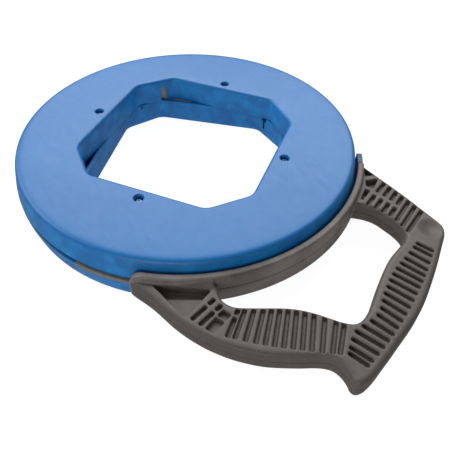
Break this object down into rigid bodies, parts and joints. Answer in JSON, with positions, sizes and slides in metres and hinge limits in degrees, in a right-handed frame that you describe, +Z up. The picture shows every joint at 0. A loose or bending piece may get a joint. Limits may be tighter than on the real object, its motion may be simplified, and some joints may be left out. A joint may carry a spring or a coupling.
{
  "type": "fish tape reel",
  "caption": "Round flat reel case with a square opening through it, turning in a D-shaped side handle with a ribbed grip and a tape outlet.",
  "frame": {"origin": "on the surface the case rests on, centred under the whole reel's length and width", "axes": "+X from the case towards the grip, +Z up along the case's turning axis, +Y towards the tape outlet"},
  "size_m": [0.414, 0.3108, 0.046],
  "materials": {
    "case_plastic": "moulded blue plastic, satin",
    "handle_plastic": "moulded dark grey plastic, satin",
    "rail_plastic": "smooth grey plastic",
    "tape_steel": "tempered spring steel, oiled",
    "screw_steel": "zinc plated"
  },
  "bodies": {
    "handle": {"handle_upper_half": "handle_plastic", "handle_lower_half": "handle_plastic", "handle_screw_1": "screw_steel", "handle_screw_2": "screw_steel", "handle_screw_3": "screw_steel", "handle_screw_4": "screw_steel", "handle_screw_5": "screw_steel", "handle_screw_6": "screw_steel", "guide_rail": "rail_plastic", "exit_nozzle": "case_plastic"},
    "case": {"upper_case_shell": "case_plastic", "lower_case_shell": "case_plastic", "case_screw_1": "screw_steel", "case_screw_2": "screw_steel", "case_screw_3": "screw_steel", "case_screw_4": "screw_steel", "tape_coil": "tape_steel", "tape_tail": "tape_steel", "tape_anchor_clip": "tape_steel"},
    "tape_leader": {"tape_leader": "tape_steel", "tape_tip": "tape_steel"}
  },
  "joints": [
    {"name": "case_spin", "type": "hinge", "parent": "handle", "child": "case", "pos_m": [-0.05165, 0, 0.023], "axis": [0, 0, 1], "continuous": true},
    {"name": "tape_feed", "type": "slide", "parent": "handle", "child": "tape_leader", "axis": [-0.4305, 0.9026, 0], "range_m": [0, 0.05]}
  ]
}
